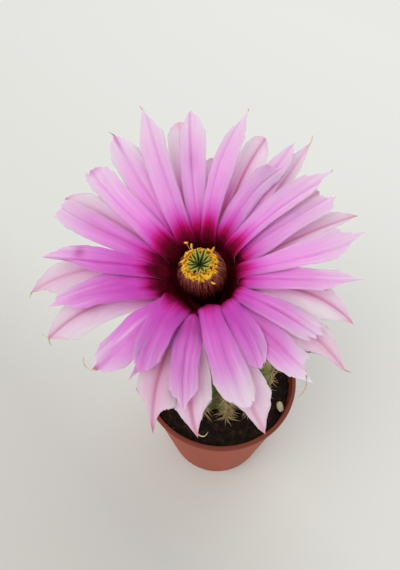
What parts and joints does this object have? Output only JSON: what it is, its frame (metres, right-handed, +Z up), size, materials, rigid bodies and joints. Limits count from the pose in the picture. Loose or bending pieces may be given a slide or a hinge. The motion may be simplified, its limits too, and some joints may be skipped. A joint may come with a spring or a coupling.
{
  "type": "potted hedgehog cactus",
  "caption": "Small ribbed hedgehog cactus in a tapered plastic pot, with one large open pink flower on a short scaly tube; stands on its flat base.",
  "frame": {"origin": "centre of the pot's flat base, on the surface it stands on", "axes": "+Z up along the pot's axis; the flower looks up and towards -Y, and a little towards -X"},
  "size_m": [0.0882, 0.0834, 0.1315],
  "materials": {
    "terracotta_plastic": "smooth moulded plastic, terracotta colour, satin",
    "potting_soil": "dark crumbly potting soil, matte",
    "pale_stone": "smooth pale grit, matte",
    "cactus_skin": "waxy olive green skin with cream areoles and tan spines",
    "tube_skin": "brown-green skin with small scales and bristles",
    "outer_petal": "thin pale pink petals with a darker stripe, satin",
    "inner_petal": "thin magenta-pink petals, dark maroon in the throat, satin",
    "filament": "dark red filaments with yellow anthers",
    "stigma": "green velvety stigma lobes on a pale style"
  },
  "bodies": {
    "root": {"pot": "terracotta_plastic", "soil": "potting_soil", "stone": "pale_stone", "stem": "cactus_skin", "flower_tube": "tube_skin", "outer_petals": "outer_petal", "inner_petals": "inner_petal", "stamens": "filament", "style": "stigma"}
  },
  "joints": []
}
